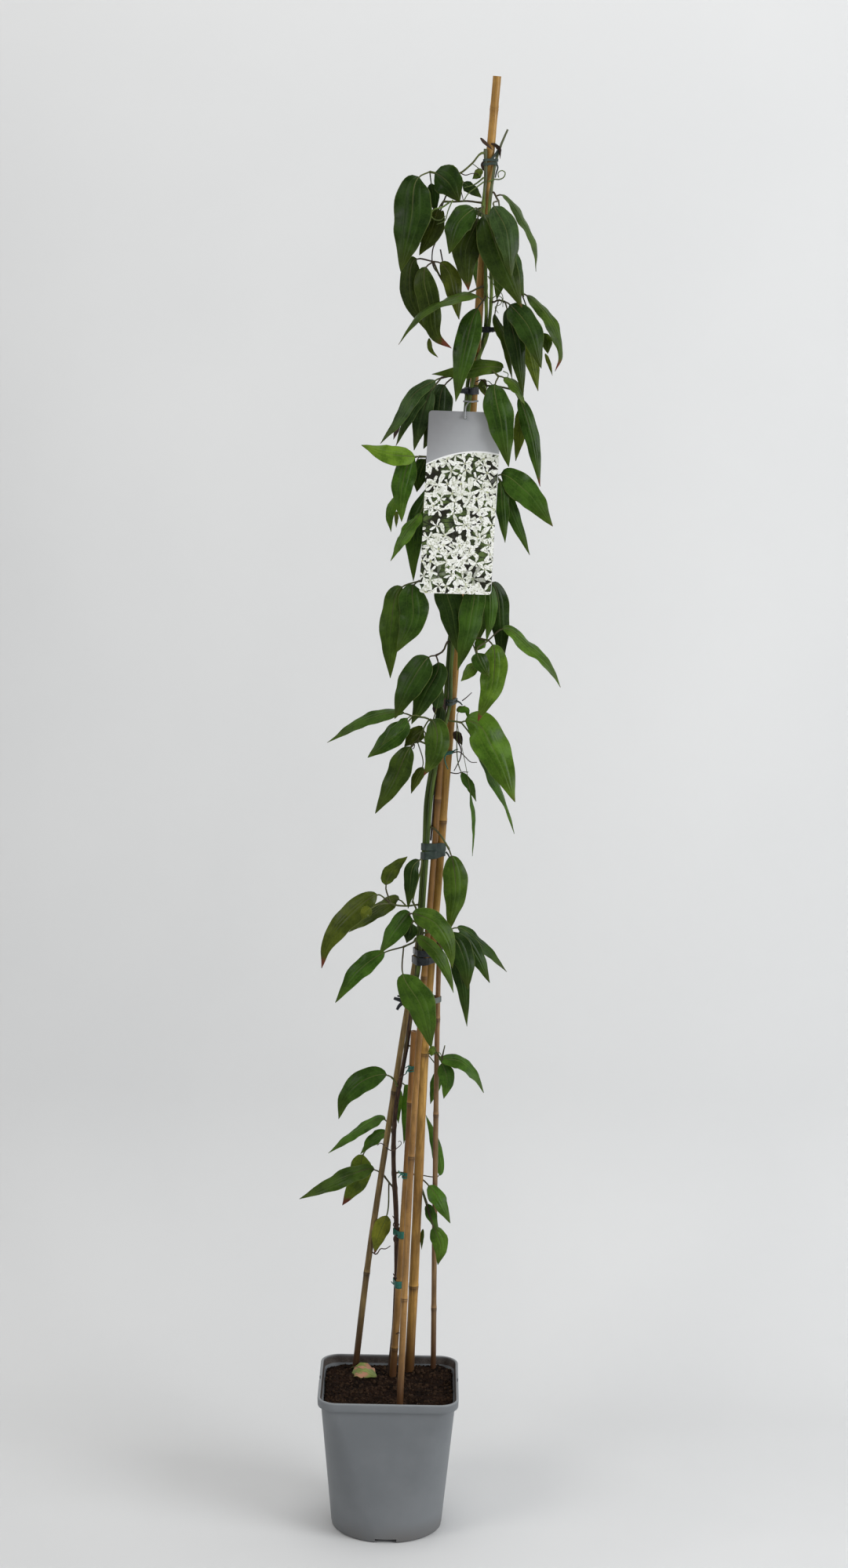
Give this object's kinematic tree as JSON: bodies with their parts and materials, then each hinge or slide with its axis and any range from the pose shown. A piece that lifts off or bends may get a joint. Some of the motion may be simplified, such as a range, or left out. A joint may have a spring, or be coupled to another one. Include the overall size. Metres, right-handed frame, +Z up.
{
  "type": "clematis plant on a trellis",
  "caption": "Evergreen clematis with drooping leathery leaflets, tied to bamboo canes in a square grey nursery pot, with a hanging plant card",
  "frame": {"origin": "on the floor under the middle of the pot", "axes": "+Z up, -Y towards the front, where the card hangs, +X to the right seen from the front"},
  "size_m": [0.301, 0.1772, 1.7409],
  "materials": {
    "pot_plastic": "satin",
    "soil": "matte",
    "cane_tan": "satin",
    "cane_brown": "satin",
    "cane_dark": "satin",
    "cane_pink": "satin",
    "stem": "matte",
    "leaf_deep": "satin",
    "leaf_mid": "satin",
    "leaf_grey": "satin",
    "leaf_olive": "satin",
    "leaf_bright": "satin",
    "tie_slate": "satin",
    "tie_black": "gloss",
    "tie_teal": "satin",
    "card": "gloss",
    "card_hook": "gloss"
  },
  "bodies": {
    "root": {"cane_front": "cane_tan", "cane_left": "cane_dark", "cane_main": "cane_tan", "cane_right": "cane_pink", "cane_short": "cane_brown", "card": "card", "card_hook": "card_hook", "fallen_leaf": "leaf_bright", "pot": "pot_plastic", "soil": "soil", "spray_back_card": "leaf_mid", "spray_back_middle": "leaf_deep", "spray_back_top": "leaf_deep", "spray_band_right": "leaf_deep", "spray_below_front": "leaf_mid", "spray_below_left": "leaf_mid", "spray_card_far_right": "leaf_mid", "spray_card_right": "leaf_mid", "spray_knot_right": "leaf_mid", "spray_left": "leaf_bright", "spray_left_arms": "leaf_mid", "spray_left_lower": "leaf_deep", "spray_low_arms": "leaf_mid", "spray_low_back": "leaf_bright", "spray_low_left": "leaf_deep", "spray_low_right": "leaf_mid", "spray_lowest_left": "leaf_deep", "spray_mid_back": "leaf_deep", "spray_mid_front": "leaf_mid", "spray_mid_left": "leaf_olive", "spray_mid_low": "leaf_olive", "spray_right_broad": "leaf_bright", "spray_right_middle": "leaf_mid", "spray_shoulder_left": "leaf_grey", "spray_top_left": "leaf_deep", "spray_top_middle": "leaf_deep", "spray_top_olive": "leaf_olive", "spray_top_right": "leaf_grey", "spray_upper_far_right": "leaf_mid", "spray_upper_front": "leaf_mid", "spray_upper_left": "leaf_olive", "spray_upper_right": "leaf_deep", "spray_waist_left": "leaf_deep", "spray_waist_right": "leaf_bright", "spray_wide_tie": "leaf_mid", "stem": "stem", "tie_band": "tie_black", "tie_clip": "tie_black", "tie_dark": "tie_slate", "tie_tape": "tie_slate", "tie_teal": "tie_teal", "tie_top": "tie_slate", "tie_twist_a": "tie_teal", "tie_twist_b": "tie_teal", "tie_twist_c": "tie_teal", "tie_twist_d": "tie_teal", "tie_upper_clip": "tie_black", "tie_wide": "tie_slate"}
  },
  "joints": []
}
